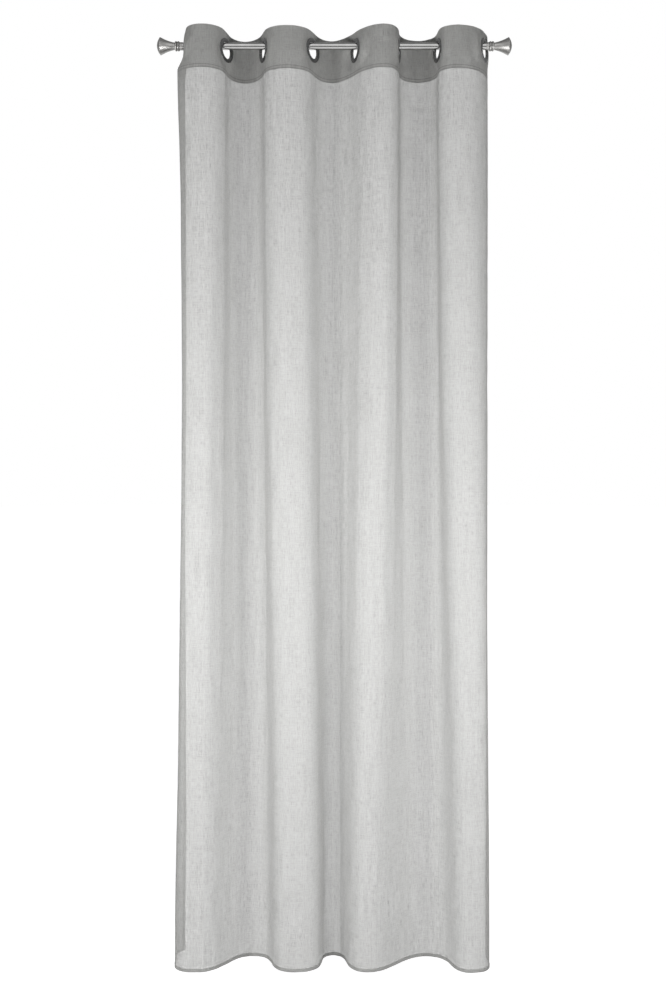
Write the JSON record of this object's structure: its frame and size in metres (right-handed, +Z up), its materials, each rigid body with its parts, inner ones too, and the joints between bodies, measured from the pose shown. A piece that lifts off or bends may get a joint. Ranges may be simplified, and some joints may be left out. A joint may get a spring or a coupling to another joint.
{
  "type": "window curtain on a rod",
  "caption": "Sheer grey eyelet curtain hanging in soft folds from a round steel rod with turned trumpet finials.",
  "frame": {"origin": "the rod's axis at the middle of the rod, where the rod is held up", "axes": "+X along the rod to the viewer's right, -Y out of the curtain's front towards the room, +Z up; the curtain hangs down along -Z"},
  "size_m": [0.952, 0.1461, 2.4991],
  "materials": {
    "rod_steel": "polished along its length, satin",
    "finial_nickel": "satin nickel, turned",
    "plug_plastic": "moulded, ribbed",
    "eyelet_chrome": "dark chrome, polished",
    "sheer_cloth": "sheer plain weave with slubs, semi-see-through",
    "heading_band": "second layer of the cloth with a stiffener"
  },
  "bodies": {
    "rod": {"rod_tube": "rod_steel"},
    "finial_left": {"finial_left_body": "finial_nickel", "finial_left_collar": "finial_nickel", "finial_left_plug": "plug_plastic"},
    "finial_right": {"finial_right_body": "finial_nickel", "finial_right_collar": "finial_nickel", "finial_right_plug": "plug_plastic"},
    "eyelet_1": {"eyelet_1_front": "eyelet_chrome", "eyelet_1_back": "eyelet_chrome", "curtain_edge_left": "sheer_cloth", "heading_edge_left": "heading_band", "curtain_fold_1": "sheer_cloth", "heading_fold_1": "heading_band"},
    "eyelet_2": {"eyelet_2_front": "eyelet_chrome", "eyelet_2_back": "eyelet_chrome", "curtain_fold_2": "sheer_cloth", "heading_fold_2": "heading_band"},
    "eyelet_3": {"eyelet_3_front": "eyelet_chrome", "eyelet_3_back": "eyelet_chrome", "curtain_fold_3": "sheer_cloth", "heading_fold_3": "heading_band"},
    "eyelet_4": {"eyelet_4_front": "eyelet_chrome", "eyelet_4_back": "eyelet_chrome", "curtain_fold_4": "sheer_cloth", "heading_fold_4": "heading_band"},
    "eyelet_5": {"eyelet_5_front": "eyelet_chrome", "eyelet_5_back": "eyelet_chrome", "curtain_fold_5": "sheer_cloth", "heading_fold_5": "heading_band"},
    "eyelet_6": {"eyelet_6_front": "eyelet_chrome", "eyelet_6_back": "eyelet_chrome", "curtain_fold_6": "sheer_cloth", "heading_fold_6": "heading_band"},
    "eyelet_7": {"eyelet_7_front": "eyelet_chrome", "eyelet_7_back": "eyelet_chrome", "curtain_fold_7": "sheer_cloth", "heading_fold_7": "heading_band"},
    "eyelet_8": {"eyelet_8_front": "eyelet_chrome", "eyelet_8_back": "eyelet_chrome", "curtain_edge_right": "sheer_cloth", "heading_edge_right": "heading_band"}
  },
  "joints": [
    {"name": "finial_left_pull", "type": "slide", "parent": "rod", "child": "finial_left", "axis": [-1, 0, 0], "range_m": [0, 0.05]},
    {"name": "finial_right_pull", "type": "slide", "parent": "rod", "child": "finial_right", "axis": [1, 0, 0], "range_m": [0, 0.05]},
    {"name": "curtain_swing", "type": "hinge", "parent": "rod", "child": "eyelet_1", "pos_m": [-0.396, 0, 0], "axis": [1, 0, 0], "range_deg": [-8, 8]},
    {"name": "eyelet_2_close", "type": "slide", "parent": "eyelet_1", "child": "eyelet_2", "axis": [-1, 0, 0], "range_m": [0, 0.05], "deforming": ["curtain_fold_1", "heading_fold_1"]},
    {"name": "eyelet_3_close", "type": "slide", "parent": "eyelet_2", "child": "eyelet_3", "axis": [-1, 0, 0], "range_m": [0, 0.043], "deforming": ["curtain_fold_2", "heading_fold_2"]},
    {"name": "eyelet_4_close", "type": "slide", "parent": "eyelet_3", "child": "eyelet_4", "axis": [-1, 0, 0], "range_m": [0, 0.05], "deforming": ["curtain_fold_3", "heading_fold_3"]},
    {"name": "eyelet_5_close", "type": "slide", "parent": "eyelet_4", "child": "eyelet_5", "axis": [-1, 0, 0], "range_m": [0, 0.05], "deforming": ["curtain_fold_4", "heading_fold_4"]},
    {"name": "eyelet_6_close", "type": "slide", "parent": "eyelet_5", "child": "eyelet_6", "axis": [-1, 0, 0], "range_m": [0, 0.057], "deforming": ["curtain_fold_5", "heading_fold_5"]},
    {"name": "eyelet_7_close", "type": "slide", "parent": "eyelet_6", "child": "eyelet_7", "axis": [-1, 0, 0], "range_m": [0, 0.055], "deforming": ["curtain_fold_6", "heading_fold_6"]},
    {"name": "eyelet_8_close", "type": "slide", "parent": "eyelet_7", "child": "eyelet_8", "axis": [-1, 0, 0], "range_m": [0, 0.051], "deforming": ["curtain_fold_7", "heading_fold_7"]}
  ]
}
